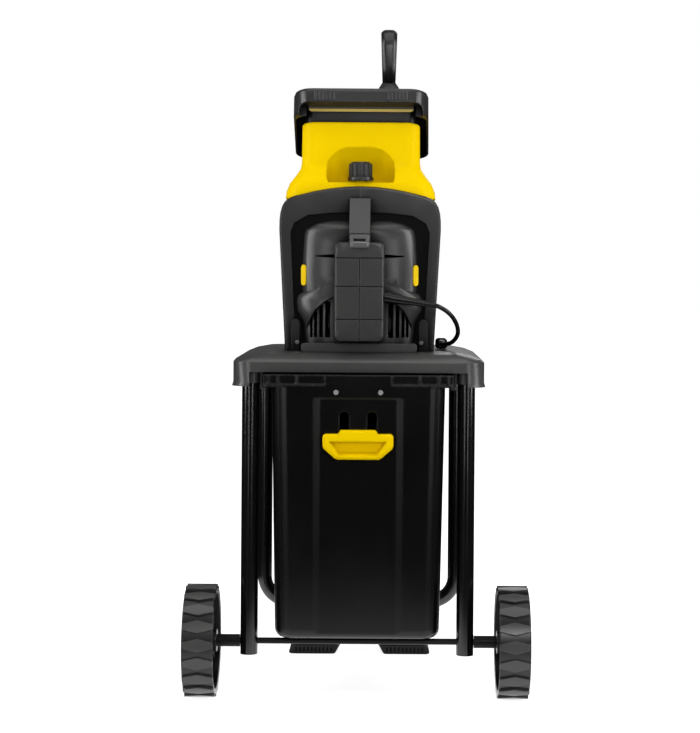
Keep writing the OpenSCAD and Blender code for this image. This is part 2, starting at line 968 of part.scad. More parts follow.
// Arched outline of the grille, across both sides
function grille_arch() = both_sides([
    [cover_base_half - 2.5, top_z + 20], [cover_base_half - 3.5, top_z + 34],
    [cover_base_half - 6, top_z + 46], [cover_w * 0.35, top_z + 67], [cover_w * 0.27, top_z + 82],
    [cover_w * 0.192, top_z + 90], [0, top_z + 96]
]);

// Upright vent slots of the grille, each given by its place, width and height
module vent_slots() {
    low = top_z + 23;
    for (side = [-1, 1])
        for (s = [[51, 8, 58], [62, 6, 51], [71, 5, 41], [78, 4, 31]])
            translate([side * s[0] - s[1] / 2, cover_front - 5, low])
                cube([s[1], cover_out + 3, s[2]]);
}

// Wedge-shaped slits beside the rear cover
module cover_slits() {
    for (side = [-1, 1])
        mirror([side > 0 ? 0 : 1, 0, 0])
            translate([0, body_front - 10, part_z - 95])
                rotate([90, 0, 0])
                    linear_extrude(cover_out)
                        polygon([[spine_w / 2 - 2, -3], [72, -0.8], [72, 0.8], [spine_w / 2 - 2, 3]]);
}

module motor_cover() {
    flange_y = body_front + body_wall + 0.4;
    color(dark_grey)
    difference() {
        union() {
            cover_form(0);
            grille_collar();
            front_loft([[flange_y + 3, band_outline(-3)], [flange_y, band_outline(-3)]]);
        }
        cover_form(cover_wall);
        badge_places()
            badge_plate(badge_slip);
        vent_slots();
        cover_slits();
    }
}

// Slim neck from the rear cover over the motor cover's top to the arch
module rear_neck() {
    neck_half = 17;
    gap = 0.4;
    top = part_z - 34 + gap;
    translate([-neck_half, 0, 0])
        rotate([90, 0, 90])
            linear_extrude(2 * neck_half)
                polygon([
                    [body_front - gap, part_z], [body_front - 7, part_z], [spine_front + 1, spine_top + 14],
                    [spine_front + 1, spine_top - 12], [cover_front, spine_top - 12],
                    [cover_front - gap, part_z - 48.5], [body_front - cover_out * 0.92 - gap, top - 12],
                    [body_front - cover_out * 0.7, top - 6.5], [body_front - cover_out * 0.35, top - 1.2],
                    [body_front - gap, top]
                ]);
}

// Narrow box in front of the motor cover
module rear_cover() {
    groove = 1.6;
    spine_mid = (spine_top + spine_bottom) / 2;
    spine_len = spine_top - spine_bottom;
    color(dark_grey)
    difference() {
        union() {
            front_loft([
                for (s = [
                    [cover_front, 0], [spine_front + 5, 0], [spine_front + 1.5, 1.5], [spine_front, 5]
                ])
                    [s[0], [
                        for (p = rounded_ring(spine_w - 2 * s[1], spine_len - 2 * s[1], 9))
                            [p[0], p[1] + spine_mid]
                    ]]
            ]);
            rear_neck();
        }
        for (z = [spine_top - 27, spine_top - 73, spine_top - 126])
            translate([-spine_w, spine_front - 1, z])
                cube([2 * spine_w, groove + 1, groove]);
        translate([-groove / 2, spine_front - 1, spine_bottom])
            cube([groove, groove + 1, spine_len - 27]);
        translate([0, cord_y, cord_z])
            rod_x(0, spine_w, 12 + 2 * slip_gap);
    }
}

module base_strip() {
    strip_half = cover_w * 0.45;
    strip_h = 14;
    color(dark_grey)
    translate([0, cover_front - 0.5, top_z + strip_h / 2])
        rotate([90, 0, 0])
            linear_extrude(7)
                rounded_rect(2 * strip_half, strip_h, 5);
}

// Bright stirrup clip at the foot of the neck, with a raised lower bar
module cover_clip() {
    clip_w = 31;
    clip_h = 21;
    clip_t = 2.5;
    bar_t = 2.5;
    color(steel)
    translate([0, spine_front, clip_z])
        rotate([90, 0, 0]) {
            linear_extrude(clip_t)
                difference() {
                    rounded_rect(clip_w, clip_h, 2.5);
                    translate([0, 1.5])
                        rounded_rect(clip_w - 11, 4.5, 1);
                }
            translate([0, -clip_h / 2 + 5, clip_t - tiny])
                linear_extrude(bar_t)
                    rounded_rect(clip_w - 6, 7, 2);
        }
}

// Plain oval inlays on the cover's flanks
module badge_places() {
    for (side = [-1, 1])
        mirror([side > 0 ? 0 : 1, 0, 0])
            translate([cover_w * 0.438, body_front - cover_out * 0.29, part_z - 126])
                rotate([0, 0, -40])
                    translate([-1.4, 0, 0])
                        children();
}

module badge_plate(margin) {
    rotate([0, 90, 0])
        linear_extrude(2.4 + 4 * margin)
            polygon(rounded_ring(34 + 2 * margin, 12 + 2 * margin, 5.5));
}

module side_badges() {
    color(yellow)
    badge_places()
        translate([0.1, 0, 0])
            badge_plate(0);
}

module body_screws() {
    color(steel)
    for (side = [-1, 1])
        translate([side * (body_base_w / 2 - band_w - 6), body_front - 8, top_z + 14])
            rod_front(7, 2.5);
}

// Knives and motor

// Round chamber behind the knife disc with the chute down to the box
module knife_housing() {
    boss_d = bearing_d + 10;
    boss_from = can_floor - 8;
    chute_mid = (chute_front + chute_back) / 2;
    chute_d = chute_back - chute_front;
    chute_top = disc_z - 30;
    color(dark_grey)
    difference() {
        union() {
            difference() {
                union() {
                    on_axis()
                        translate([0, 0, can_floor])
                            cylinder(r = can_r, h = can_top - can_floor);
                    translate([0, chute_mid, chute_z])
                        linear_extrude(chute_top - chute_z)
                            rounded_rect(2 * chute_half, chute_d, 8);
                }
                on_axis()
                    translate([0, 0, can_floor + floor_t])
                        cylinder(r = can_r - can_wall, h = can_top - can_floor);
                translate([0, chute_mid, chute_z - 1])
                    linear_extrude(chute_top - chute_z + 40)
                        rounded_rect(2 * (chute_half - chute_wall), chute_d - 2 * chute_wall, 6);
            }
            on_axis()
                translate([0, 0, boss_from])
                    cylinder(d = boss_d, h = can_floor + floor_t + 6 - boss_from);
        }
        on_axis() {
            translate([0, 0, boss_from - 1])
                cylinder(d = bearing_d + 2 * slip_gap, h = bearing_t + 2 * slip_gap + 1);
            translate([0, 0, boss_from])
                cylinder(d = shaft_d + 8, h = can_top - boss_from);
        }
    }
}

// Motor tube with a spoked end plate that carries the lower bearing
module motor_housing() {
    tube_from = motor_end;
    tube_to = can_floor - move_gap / 2;
    plate_t = 4;
    spoke_count = 6;
    inner_r = motor_d / 2 - 3;
    color(steel)
    on_axis()
        difference() {
            union() {
                difference() {
                    translate([0, 0, tube_from])
                        cylinder(d = motor_d, h = tube_to - tube_from);
                    translate([0, 0, tube_from + plate_t])
                        cylinder(r = inner_r, h = tube_to - tube_from);
                    for (i = [0:spoke_count - 1])
                        rotate([0, 0, 60 * i])
                            translate([(small_bearing_d / 2 + inner_r) / 2 + 2, 0, tube_from - 1])
                                cylinder(d = inner_r - small_bearing_d / 2 - 9, h = plate_t + 2);
                }
                translate([0, 0, tube_from])
                    cylinder(d = small_bearing_d + 7, h = 13);
            }
            translate([0, 0, tube_from + 3])
                cylinder(d = small_bearing_d + 2 * slip_gap, h = 20);
        }
}

module stator() {
    slots = 12;
    color(copper)
    on_axis()
        translate([0, 0, core_from])
            difference() {
                cylinder(d = motor_d - 6 - 2 * slip_gap, h = core_to - core_from);
                translate([0, 0, -1])
                    cylinder(d = rotor_d + 2, h = core_to - core_from + 2);
                for (i = [0:slots - 1])
                    rotate([0, 0, 360 * i / slots])
                        translate([rotor_d / 2 + 6, 0, -1])
                            cylinder(d = 8, h = core_to - core_from + 2);
            }
}

module bearing_ring(outer, inner, h) {
    difference() {
        cylinder(d = outer, h = h);
        translate([0, 0, -1])
            cylinder(d = inner, h = h + 2);
    }
}

module bearings() {
    color(steel)
    on_axis() {
        translate([0, 0, can_floor - 8 + slip_gap])
            bearing_ring(bearing_d, shaft_d + 2 * run_gap, bearing_t);
        translate([0, 0, motor_end + 3 + slip_gap])
            bearing_ring(small_bearing_d, shaft_d + 2 * run_gap, 9);
    }
}

module motor_shaft() {
    shoulder_d = shaft_d + 6;
    color(steel)
    on_axis() {
        translate([0, 0, motor_end + 3.5])
            cylinder(d = shaft_d, h = 14 - motor_end - 3.5);
        translate([0, 0, can_floor + 3 + move_gap])
            cylinder(d = shoulder_d, h = -disc_t - can_floor - 3 - move_gap);
    }
}

module rotor_core() {
    slots = 12;
    color(copper)
    on_axis()
        translate([0, 0, core_from])
            difference() {
                cylinder(d = rotor_d, h = core_to - core_from);
                translate([0, 0, -1])
                    cylinder(d = shaft_d + 2 * slip_gap, h = core_to - core_from + 2);
                for (i = [0:slots - 1])
                    rotate([0, 0, 360 * i / slots])
                        translate([rotor_d / 2, 0, -1])
                            cylinder(d = 6, h = core_to - core_from + 2);
            }
}

module cooling_fan() {
    blades = 9;
    fan_r = motor_d / 2 - 8;
    fan_z = motor_end + 17;
    color(black)
    on_axis()
        translate([0, 0, fan_z])
            difference() {
                union() {
                    cylinder(d = shaft_d + 10, h = 14);
                    cylinder(r = fan_r, h = 2.5);
                    for (i = [0:blades - 1])
                        rotate([0, 0, 360 * i / blades])
                            translate([shaft_d / 2 + 2, -1, 1])
                                rotate([0, 0, -12])
                                    cube([fan_r - shaft_d / 2 - 6, 2, 11]);
                }
                translate([0, 0, -1])
                    cylinder(d = shaft_d + 2 * slip_gap, h = 20);
            }
}

module knife_places() {
    for (turn = [0, 180])
        rotate([0, 0, turn])
            translate([knife_in, -knife_w / 2, 0])
                children();
}

module knife_disc() {
    slot_w2 = 14;
    color(steel)
    on_axis()
        difference() {
            translate([0, 0, -disc_t])
                cylinder(d = disc_d, h = disc_t);
            translate([0, 0, -disc_t - 1])
                cylinder(d = shaft_d + 2 * slip_gap, h = disc_t + 2);
            knife_places()
                translate([0, knife_w + 1, -disc_t - 1])
                    cube([knife_l, slot_w2, disc_t + 2]);
            knife_screw_places()
                translate([0, 0, -disc_t - 1])
                    cylinder(d = 5.2, h = disc_t + 2);
        }
}

module knives() {
    color([0.82, 0.83, 0.84])
    on_axis()
        difference() {
            knife_places()
                translate([0, 0, slip_gap])
                    rotate([90, 0, 90])
                        linear_extrude(knife_l)
                            polygon([[0, 0], [knife_w + 4, 0], [knife_w - 6, knife_t], [0, knife_t]]);
            knife_screw_places()
                cylinder(d = 5.2, h = 2 * knife_t);
        }
}

module knife_screw_places() {
    knife_places()
        for (x = [14, knife_l - 14])
            translate([x, knife_w / 2 - 3, 0])
                children();
}

module knife_screws() {
    color(steel)
    on_axis()
        knife_screw_places() {
            translate([0, 0, -disc_t])
                cylinder(d = 5, h = disc_t + knife_t + 1);
            translate([0, 0, knife_t + 2 * slip_gap])
                cylinder(d = 10, h = 4);
        }
}

module disc_nut() {
    color(steel)
    on_axis()
        translate([0, 0, slip_gap])
            difference() {
                union() {
                    cylinder(d = shaft_d + 16, h = 2);
                    cylinder(d = shaft_d + 11, h = 12, $fn = 6);
                }
                translate([0, 0, -1])
                    cylinder(d = shaft_d + 2 * slip_gap, h = 20);
            }
}

// Hopper

// The flared foot and straight neck of the hopper, drawn in by a margin
module hopper_form(margin) {
    top = mouth_z + 40;
    drop = margin > 0 ? 1 : 0;
    loft([
        for (s = [
            [hopper_z - drop, body_w - 16, hopper_d, 30, hopper_y],
            [part_z + 12, body_w - 19, hopper_d - 2, 30, hopper_y],
            [part_z + 26, body_w - 30, hopper_d - 9, 29, hopper_y],
            [part_z + 38, neck_w + 20, hopper_d - 18, 28, hopper_y + 1],
            [part_z + 50, neck_w + 4, neck_d + 4, 26, neck_y],
            [part_z + 60, neck_w, neck_d, 24, neck_y],
            [top, neck_w - 2, neck_d - 2, 22, neck_y]
        ])
            [s[0] - (s[0] > part_z + 1 && s[0] < part_z + 49 ? margin : 0),
             s[1] - 2 * margin, s[2] - 2 * margin, s[3] - margin, 0, s[4]]
    ]);
}

// Scooped recess for the knob in the hopper's rear side, running out upwards into the neck
module knob_recess(margin) {
    recess_w = 112;
    front = hopper_front - 40;
    loft([
        for (s = [
            [-margin, recess_w - 6, 20, 27], [8, recess_w, 22, 27.5], [34, recess_w, 24, 24.5],
            [52, recess_w - 14, 24, 12.5], [62 + margin, recess_w - 34, 22, 5.5]
        ])
            let (back = knob_y + s[3] + margin)
            [seat_z + s[0], s[1] + 2 * margin, back - front, min(s[2] + margin, (back - front) / 2 - 1), 0,
             (back + front) / 2]
    ]);
}

module hopper_knuckles() {
    for (side = [-1, 1])
        mirror([side > 0 ? 0 : 1, 0, 0]) {
            translate([0, hinge_y, hinge_z])
                rod_x(70 + move_gap, 94, 2 * knuckle_r);
            translate([70 + move_gap, hopper_back - 6, hinge_z - 1])
                cube([94 - 70 - move_gap, hinge_y - hopper_back + 6, knuckle_r + 1]);
        }
}

module hopper_shell() {
    boss_d = 20;
    mouth_cut = -11.5;
    color(yellow)
    difference() {
        union() {
            difference() {
                union() {
                    difference() {
                        hopper_form(0);
                        hopper_form(hopper_wall);
                    }
                    intersection() {
                        hopper_form(0);
                        knob_recess(hopper_wall);
                    }
                }
                knob_recess(0);
            }
            hopper_knuckles();
            translate([0, knob_y, hopper_z])
                cylinder(d = boss_d, h = knob_z - move_gap - hopper_z);
        }
        translate([0, knob_y, hopper_z - 1])
            cylinder(d = stud_d + 2 * run_gap, h = 80);
        translate([0, hinge_y, hinge_z])
            rod_x(-body_w, body_w, hinge_d + 2 * run_gap);
        at_mouth()
            translate([-body_w, -body_d, mouth_cut])
                cube([2 * body_w, 2 * body_d, 200]);
    }
}

// Funnel from the mouth to the throat, drawn in by a margin
module funnel_form(margin) {
    drop = margin > 0 ? 1 : 0;
    rise = rim_h - rim_wall + drop;
    skin([
        for (s = [
            [0, throat_w, throat_d, 10],
            [1, throat_w, throat_d, 10],
            [2, neck_w - 28, neck_d - 28, 20]
        ])
            [
                for (p = rounded_ring(s[1] - 2 * margin, s[2] - 2 * margin, s[3]))
                    s[0] == 2
                        ? [p[0], mouth_y + p[1] * cos(mouth_tilt) + rise * sin(mouth_tilt),
                           mouth_z - p[1] * sin(mouth_tilt) + rise * cos(mouth_tilt) - slip_gap]
                        : [p[0] + throat_x, p[1] + throat_y, s[0] == 0 ? throat_z - drop : part_z + 8]
            ]
    ]);
}

module hopper_funnel() {
    color(black)
    difference() {
        funnel_form(0);
        funnel_form(funnel_wall);
    }
}

// A ring of the lip, which widens towards the operator
function rim_ring(w, d, r, y, z) =
    [for (p = rounded_ring(w, d, r)) [p[0] * (1 + rim_flare * ((p[1] + y) / rim_d + 0.5)), p[1] + y, z]];

// Grip ridges on the two ends of the handle bar
module bar_ridges() {
    ridge_d = 4;
    for (side = [-1, 1])
        for (i = [0:5])
            translate([side * (45 + i * 6), -rim_d / 2 - bar_out + 0.8, bar_low + 3])
                cylinder(d = ridge_d, h = rim_h - bar_low - 9);
}

// Upright collar of the lip, on three sides inside the shell's neck
module rim_collar() {
    collar_w = neck_w - 2 * hopper_wall - 2 - 2 * slip_gap;
    collar_d = neck_d - 2 * hopper_wall - 2 - 2 * slip_gap;
    collar_low = -24;
    collar_open = 60;
    intersection() {
        difference() {
            loft([
                [part_z + 60, collar_w, collar_d, 20, 0, neck_y],
                [mouth_z + 100, collar_w, collar_d, 20, 0, neck_y]
            ]);
            loft([
                [part_z + 59, collar_w - 2 * rim_wall, collar_d - 2 * rim_wall, 17, 0, neck_y],
                [mouth_z + 101, collar_w - 2 * rim_wall, collar_d - 2 * rim_wall, 17, 0, neck_y]
            ]);
        }
        at_mouth()
            translate([-body_w, -body_d, collar_low])
                cube([2 * body_w, body_d + collar_open, rim_h - rim_wall - collar_low + 1]);
    }
}

// Lip round the mouth with a skirt on three sides and the handle bar over the wheels
module hopper_rim() {
    skirt_low = -5;
    bar_d = 20;
    outer_d = rim_d + bar_out;
    inner_d = rim_d + bar_out - bar_d - rim_wall;
    inner_y = (bar_d - bar_out - rim_wall) / 2;
    arm_w = 9;
    gap_h = 46;
    color(black) {
        rim_collar();
        at_mouth()
            difference() {
                union() {
                    skin([
                        for (s = [
                            [skirt_low, 1.5], [skirt_low + 1.5, 0], [rim_h - 7, 0],
                            [rim_h - 2, 2], [rim_h, 5]
                        ])
                            rim_ring(bar_w - 2 * s[1], outer_d - 2 * s[1], 30 - s[1], -bar_out / 2, s[0])
                    ]);
                    bar_ridges();
                }
                skin([
                    for (z = [skirt_low - 1, rim_h - rim_wall])
                        rim_ring(bar_w - 2 * rim_wall, inner_d, 24, inner_y, z)
                ]);
                translate([0, 0, rim_h - rim_wall - 1])
                    linear_extrude(rim_wall + 2)
                        rounded_rect(neck_w - 34, neck_d - 34, 18);
                translate([0, -rim_d / 2 + bar_d - bar_out + 1, bar_low - gap_h / 2])
                    rotate([90, 0, 0])
                        linear_extrude(bar_d + 10)
                            rounded_rect(bar_w - 2 * arm_w, gap_h, 12);
            }
    }
}

// Yellow strip behind the handle bar, on the front of the lip's collar
module mouth_strip() {
    strip_half = 87;
    strip_h = 13;
    strip_t = 3.2;
    hook = 5;
    collar_front = neck_front + hopper_wall + 1 + slip_gap;
    color(yellow)
    translate([0, collar_front - slip_gap, strip_z])
        rotate([90, 0, 0])
            linear_extrude(strip_t)
                polygon(both_sides([
                    [strip_half - hook, 0], [strip_half - 1.5, 1.5], [strip_half, hook],
                    [strip_half, strip_h], [0, strip_h]
                ]));
}

module hinge_pin() {
    color(steel)
    translate([0, hinge_y, hinge_z])
        rod_x(-96, 96, hinge_d);
}

module knob() {
    ribs = 14;
    groove_d = 5;
    flange_h = 6;
    cap_h = 3;
    grip_d = knob_d - 3;
    color(black)
    translate([0, knob_y, knob_z])
        difference() {
            union() {
                cylinder(d = knob_d, h = flange_h);
                translate([0, 0, flange_h - tiny])
                    linear_extrude(knob_h - flange_h - cap_h + tiny)
                        difference() {
                            circle(d = grip_d);
                            for (i = [0:ribs - 1])
                                rotate(360 * i / ribs)
                                    translate([grip_d / 2 + 0.8, 0])
                                        circle(d = groove_d);
                        }
                translate([0, 0, knob_h - cap_h - tiny])
                    cylinder(d1 = grip_d - 5, d2 = grip_d - 9, h = cap_h + tiny);
            }
            translate([0, 0, -1])
                cylinder(d = stud_d + 2 * slip_gap, h = knob_h - 7);
        }
}

module knob_stud() {
    stud_l = 18;
    color(steel)
    translate([0, knob_y, part_z - stud_l])
        cylinder(d = stud_d, h = knob_z - part_z + stud_l + knob_h - 9);
}

// Push stick: hand loop, tapered shank, stop on the funnel's slope and paddle in the throat
module pusher() {
    loop_d = 104;
    loop_z = disc_z + 289;
    foot_part = 0.78;
    stop_z = part_z + 17.2;
    stop_h = 10;
    stop_out = 9.5;
    hole_w = loop_d - 44;
    hole_h = loop_h - 44;
    paddle_w = throat_w - 2 * funnel_wall - 2 * paddle_gap;
    paddle_d = throat_d - 2 * funnel_wall - 2 * paddle_gap;
    color(black)
    translate([throat_x, throat_y, 0]) {
        difference() {
            rotate([90, 0, 90])
                skin([
                    for (s = [[-1, 5], [-0.68, 1], [-0.4, 0], [0.4, 0], [0.68, 1], [1, 5]])
                        [for (p = rounded_ring(loop_d - 2 * s[1], loop_h - 2 * s[1], 34 - s[1]))
                            let (part = (1 + foot_part) / 2 + (1 - foot_part) * p[1] / loop_h)
                            [p[0], p[1] + loop_z + loop_h / 2, s[0] * part * pusher_t / 2]]
                ]);
            translate([-pusher_t, 0, loop_z + loop_h / 2])
                rotate([90, 0, 90])
                    linear_extrude(2 * pusher_t)
                        rounded_rect(hole_w, hole_h, 20);
        }
        loft([
            [throat_z + 20, paddle_w - 6, paddle_d - 6, 8, 0, 0],
            [throat_z + 24, paddle_w, paddle_d, 10, 0, 0],
            [stop_z, paddle_w, paddle_d, 10, 0, 0],
            [stop_z + stop_h + 4, paddle_w - 12, paddle_d - 4, 8, 0, 0],
            [loop_z - 10, pusher_t + 10, paddle_d + 8, 8, 0, 0],
            [loop_z - 4, pusher_t + 8, paddle_d + 8, 8, 0, 0],
            [loop_z + 8, pusher_t * foot_part - 1, loop_d - 34, 8, 0, 0]
        ]);
        translate([-paddle_w / 2 - stop_out, -paddle_d / 4, stop_z])
            cube([paddle_w / 2, paddle_d / 2, stop_h]);
    }
}

// Switch on the operator's side

// A button's well or the button itself, pressed towards the body
module button_form(x, z, d, from, to) {
    translate([x, body_back + to, switch_z + z])
        rod_front(d, to - from);
}

module switch_box() {
    color(black)
    difference() {
        translate([0, 0, switch_z])
            front_loft([
                for (s = [[switch_t, 5], [switch_t - 2, 1.5], [switch_t - 6, 0], [slip_gap, 0]])
                    [body_back + s[0], rounded_ring(switch_w - 2 * s[1], switch_h - 2 * s[1], 12)]
            ]);
        for (b = [start_place, stop_place, reset_place])
            button_form(b[0], b[1], b[2] + 2 * button_gap, switch_t - well_t, switch_t + 1);
    }
}

module pressed_button(place, out) {
    button_form(place[0], place[1], place[2], switch_t - well_t + button_travel + 1, switch_t + out - 2);
    translate([place[0], body_back + switch_t + out - 2, switch_z + place[1]])
        rotate([-90, 0, 0])
            cylinder(d1 = place[2], d2 = place[2] - 3, h = 2);
}

module start_button() {
    color([0.1, 0.45, 0.15])
    pressed_button(start_place, 5);
}

module stop_button() {
    color([0.7, 0.06, 0.05])
    pressed_button(stop_place, 7);
}

module reset_button() {
    color(gloss_black)
    pressed_button(reset_place, 5);
}

// Cord

module cord_relief() {
    ribs = 3;
    color(black)
    translate([spine_w / 2, cord_y, cord_z]) {
        difference() {
            rod_x(slip_gap, collar_l, relief_d);
            for (i = [0:ribs - 2])
                difference() {
                    rod_x(2.4 + i * 3.6, 4 + i * 3.6, relief_d + 4);
                    rod_x(0, collar_l, relief_d - 4);
                }
        }
        rotate([0, 90 + relief_tilt, 0])
            translate([0, 0, collar_l / 2])
                cylinder(d1 = relief_d - 2, d2 = cord_d + 3, h = relief_l - collar_l / 2);
    }
}

function unit(v) = v / norm(v);

// Direction of a route at one of its points
function heading(route, i) =
    unit(route[min(i + 1, len(route) - 1)] - route[max(i - 1, 0)]);

// Rings of a tube swept along a route
function tube_rings(route, d, sides) = [
    for (i = [0:len(route) - 1])
        let (along = heading(route, i))
        let (across = unit(cross([0, 0, 1], along)))
        let (up = cross(along, across))
        [for (k = [0:sides - 1])
            let (turn = 360 * k / sides)
            route[i] + (across * cos(turn) + up * sin(turn)) * d / 2]
];

module cord() {
    color(black)
    skin(tube_rings(cord_route, cord_d, 8));
}

module plug() {
    end = cord_route[len(cord_route) - 1];
    plug_w = 20;
    plug_h = 18;
    plug_l = 40;
    pin_gap = 14;
    color(black)
    translate(end)
        rotate([-90, 0, 0]) {
            loft([
                [0, cord_d + 3, cord_d + 3, 4, 0, 0],
                [12, plug_w - 6, plug_h - 5, 5, 0, 0],
                [16, plug_w, plug_h, 6, 0, 0],
                [plug_l - 2, plug_w, plug_h, 6, 0, 0],
                [plug_l, plug_w - 3, plug_h - 3, 5, 0, 0]
            ]);
            for (side = [-1, 1])
                translate([side * pin_gap / 2, 0, plug_l - 1])
                    cylinder(d = 4, h = 19);
        }
}

deck();
left_leg();
right_leg();
front_leg();
left_foot();
right_foot();
axle();
axle_spacers();
axle_caps();
left_wheel();
right_wheel();
left_body_half();
right_body_half();
motor_cover();
rear_cover();
base_strip();
cover_clip();
side_badges();
body_screws();
knife_housing();
motor_housing();
stator();
bearings();
motor_shaft();
rotor_core();
cooling_fan();
knife_disc();
knives();
knife_screws();
disc_nut();
hopper_shell();
hopper_funnel();
hopper_rim();
mouth_strip();
hinge_pin();
knob();
knob_stud();
pusher();
collection_box();
box_screws();
box_latch();
switch_box();
start_button();
stop_button();
reset_button();
cord_relief();
cord();
plug();
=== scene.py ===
"""Looks of the garden shredder: finishes, cord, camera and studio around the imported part."""
import math

import bpy
from bpy.props import FloatProperty, FloatVectorProperty, IntProperty, PointerProperty
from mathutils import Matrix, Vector


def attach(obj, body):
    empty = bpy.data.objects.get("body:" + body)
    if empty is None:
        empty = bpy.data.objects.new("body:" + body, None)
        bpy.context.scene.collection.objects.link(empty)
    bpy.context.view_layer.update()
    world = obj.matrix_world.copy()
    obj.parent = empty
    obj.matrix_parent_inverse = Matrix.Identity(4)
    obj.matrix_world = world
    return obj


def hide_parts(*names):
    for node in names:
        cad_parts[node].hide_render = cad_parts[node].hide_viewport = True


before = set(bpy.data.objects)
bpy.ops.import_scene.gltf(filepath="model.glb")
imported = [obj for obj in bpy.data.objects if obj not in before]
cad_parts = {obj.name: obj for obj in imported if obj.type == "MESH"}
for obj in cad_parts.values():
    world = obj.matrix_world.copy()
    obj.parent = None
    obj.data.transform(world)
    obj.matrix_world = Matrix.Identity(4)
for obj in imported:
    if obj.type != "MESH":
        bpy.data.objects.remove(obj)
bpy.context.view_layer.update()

bl_info = {
    "name": "Garden shredder looks",
    "version": (1, 0, 0),
    "blender": (4, 5, 0),
    "location": "3D View > Sidebar > Shredder",
    "description": "Builds the finishes, cord and studio of a garden shredder",
    "category": "Object",
}

MM = 0.001
WHITE = (1, 1, 1, 1)
IRON_BROWN = (0.2, 0.11, 0.06)
START_GREEN = (0.02, 0.2, 0.035)
STOP_RED = (0.42, 0.01, 0.008)

# Angles above which an edge stays sharp, and the gap that counts as joined
SMOOTH_ANGLE = math.radians(32)
STEP_ANGLE = math.radians(8)
JOIN_GAP = 0.00001

# Broad patches and fine grain of every surface
BROAD_GRAIN = 9.0
BROAD_DETAIL = 3.0
FINE_DETAIL = 2.0
GRAIN_STRENGTH = 0.5
PATCH_RANGE = (0.3, 0.7)
ROUGH_SPREAD = (0.92, 1.1)
PLAIN_GLOSS = 0.5
COAT_ROUGH = 0.06

# Painted shade in hollows: how far a point looks for nearby surfaces, and the openness between which its
# colour darkens
HOLLOW_SHADE_REACH = 0.07
HOLLOW_SHADE_SAMPLES = 8
HOLLOW_SHADE_RANGE = (0.45, 0.95)

# Painted shade on the motor's cover: depths between which its colour darkens towards its base, and what it
# keeps there
COVER_SHADE_DEPTHS = (-0.124, -0.11)
DEEP_SHADE_SHARE = 0.3

# Painted shade on a wheel: radii between which its grooves rise to its lugs, and the brightness a groove
# keeps
LUG_RADII = (0.0868, 0.0892)
GROOVE_SHADE_SHARE = 0.12

# Part of the mouth strip's height where its painted highlight along the lower edge ends
STRIP_HIGHLIGHT_BAND = (0.3, 0.36)

# The floor's brightness over the distance from its middle, as the camera and as gloss sees it
FLOOR_SEEN = ((0.3, 0.9), (0.86, 1.05))
FLOOR_MIRRORED = ((0.5, 0.95), (1.5, 0.02))
FLOOR_GREY = (0.7, 0.7, 0.7, 1)

# Camera's sensor in millimetres and its farthest view in metres
SENSOR_WIDTH = 36.0
FARTHEST_VIEW = 200.0

# Lights, each with its place, the point it faces and its size; a pair has its right one here
SIDE_LIGHT = ((1.5, -0.62, 1.2), (0.05, -0.1, 0.7), (0.5, 1.7))
GLINT_LIGHT = ((1.45, -4.0, 0.2), (0, 0, 0.3), (0.3, 0.6))
EDGE_LIGHT = ((2.2, -3.8, 0.68), (0, 0, 0.65), (0.3, 0.4))
TOP_LIGHT = ((0, -0.5, 2.9), (0, 0, 0.6), (2.4, 2.4))
FRONT_LIGHT = ((0.6, -4.3, 2.3), (0, 0, 0.6), (1.6, 1.0))
BACK_LIGHT = ((0.8, 3.8, 2.4), (0, 0, 0.6), (2.0, 1.6))
# How much stronger the side light on the right is
RIGHT_SHARE = 1.05

# Steps between two points of the cord's line, and its knots from relief to plug in millimetres
CORD_STEPS = 4
CORD_KNOTS = (
    (107, -157.5, 635),
    (127, -156, 631),
    (146, -147, 619),
    (158, -131, 602),
    (161, -108, 584.5),
    (153, -85, 571),
    (141.5, -63, 566),
    (137, -41, 566),
)


# Settings


class ShredderStudio(bpy.types.PropertyGroup):
    """Camera, floor and lights"""

    place: FloatVectorProperty(
        name="Camera place",
        description="Where the camera stands",
        default=(0.0382, -3.3575, 0.689),
        subtype="TRANSLATION",
        unit="LENGTH",
    )
    lens: FloatProperty(
        name="Lens",
        description="Focal length in millimetres",
        default=102.0,
    )
    shift: FloatVectorProperty(
        name="Lens shift",
        description="Shift of the picture sideways and upwards, in picture widths",
        default=(-0.0473, -0.1379),
        size=2,
    )
    roll: FloatProperty(
        name="Roll",
        description="Turn of the camera about its line of sight",
        default=-0.007,
        subtype="ANGLE",
    )
    floor: FloatProperty(
        name="Floor size",
        description="Edge of the square floor",
        default=60.0,
        unit="LENGTH",
    )
    side_power: FloatProperty(
        name="Side lights",
        description="Power of each tall light beside the object, in watts",
        default=19.0,
    )
    top_power: FloatProperty(
        name="Top light",
        description="Power of the light over the object, in watts",
        default=26.0,
    )
    front_power: FloatProperty(
        name="Front light",
        description="Power of the broad light behind the camera, in watts",
        default=43.0,
    )
    glint_power: FloatProperty(
        name="Glint lights",
        description="Power of each narrow light that draws the box's steps, in watts",
        default=3.5,
    )
    edge_power: FloatProperty(
        name="Edge lights",
        description="Power of each small light that draws the rear cover's edges, in watts",
        default=15.0,
    )
    back_power: FloatProperty(
        name="Back light",
        description="Power of the light on the operator's side, in watts",
        default=18.0,
    )
    surround: FloatProperty(
        name="Surround",
        description="Brightness of the room that the object reflects",
        default=0.08,
    )


